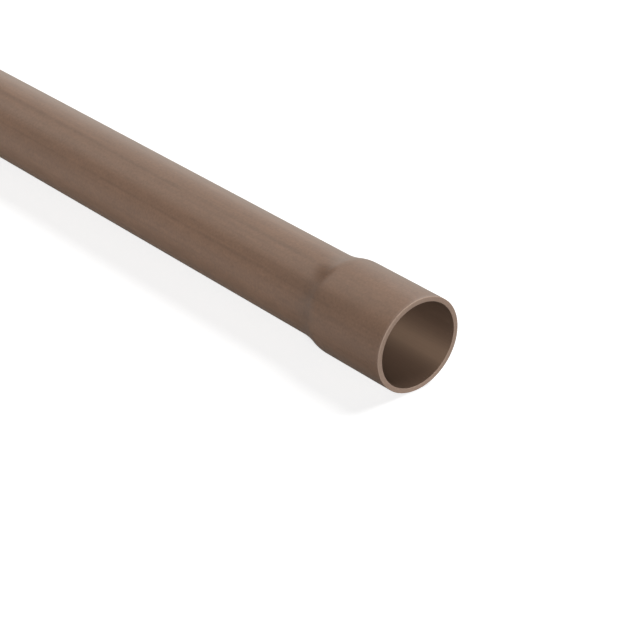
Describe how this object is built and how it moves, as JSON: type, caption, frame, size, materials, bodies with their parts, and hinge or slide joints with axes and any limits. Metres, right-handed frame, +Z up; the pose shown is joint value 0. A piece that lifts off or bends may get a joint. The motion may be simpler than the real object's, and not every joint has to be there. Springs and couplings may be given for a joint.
{
  "type": "pvc water pipe",
  "caption": "Straight brown rigid PVC pressure pipe, plain spigot at one end and a belled solvent-weld socket with a rounded shoulder at the other.",
  "frame": {"origin": "on the floor plane, under the middle of the pipe's length", "axes": "+X along the pipe towards the socket mouth, +Z up; the pipe lies with its axis level and its socket on the floor plane z = 0"},
  "size_m": [3, 0.0358, 0.036],
  "materials": {
    "pvc_brown": "satin"
  },
  "bodies": {
    "root": {"pipe": "pvc_brown"}
  },
  "joints": []
}
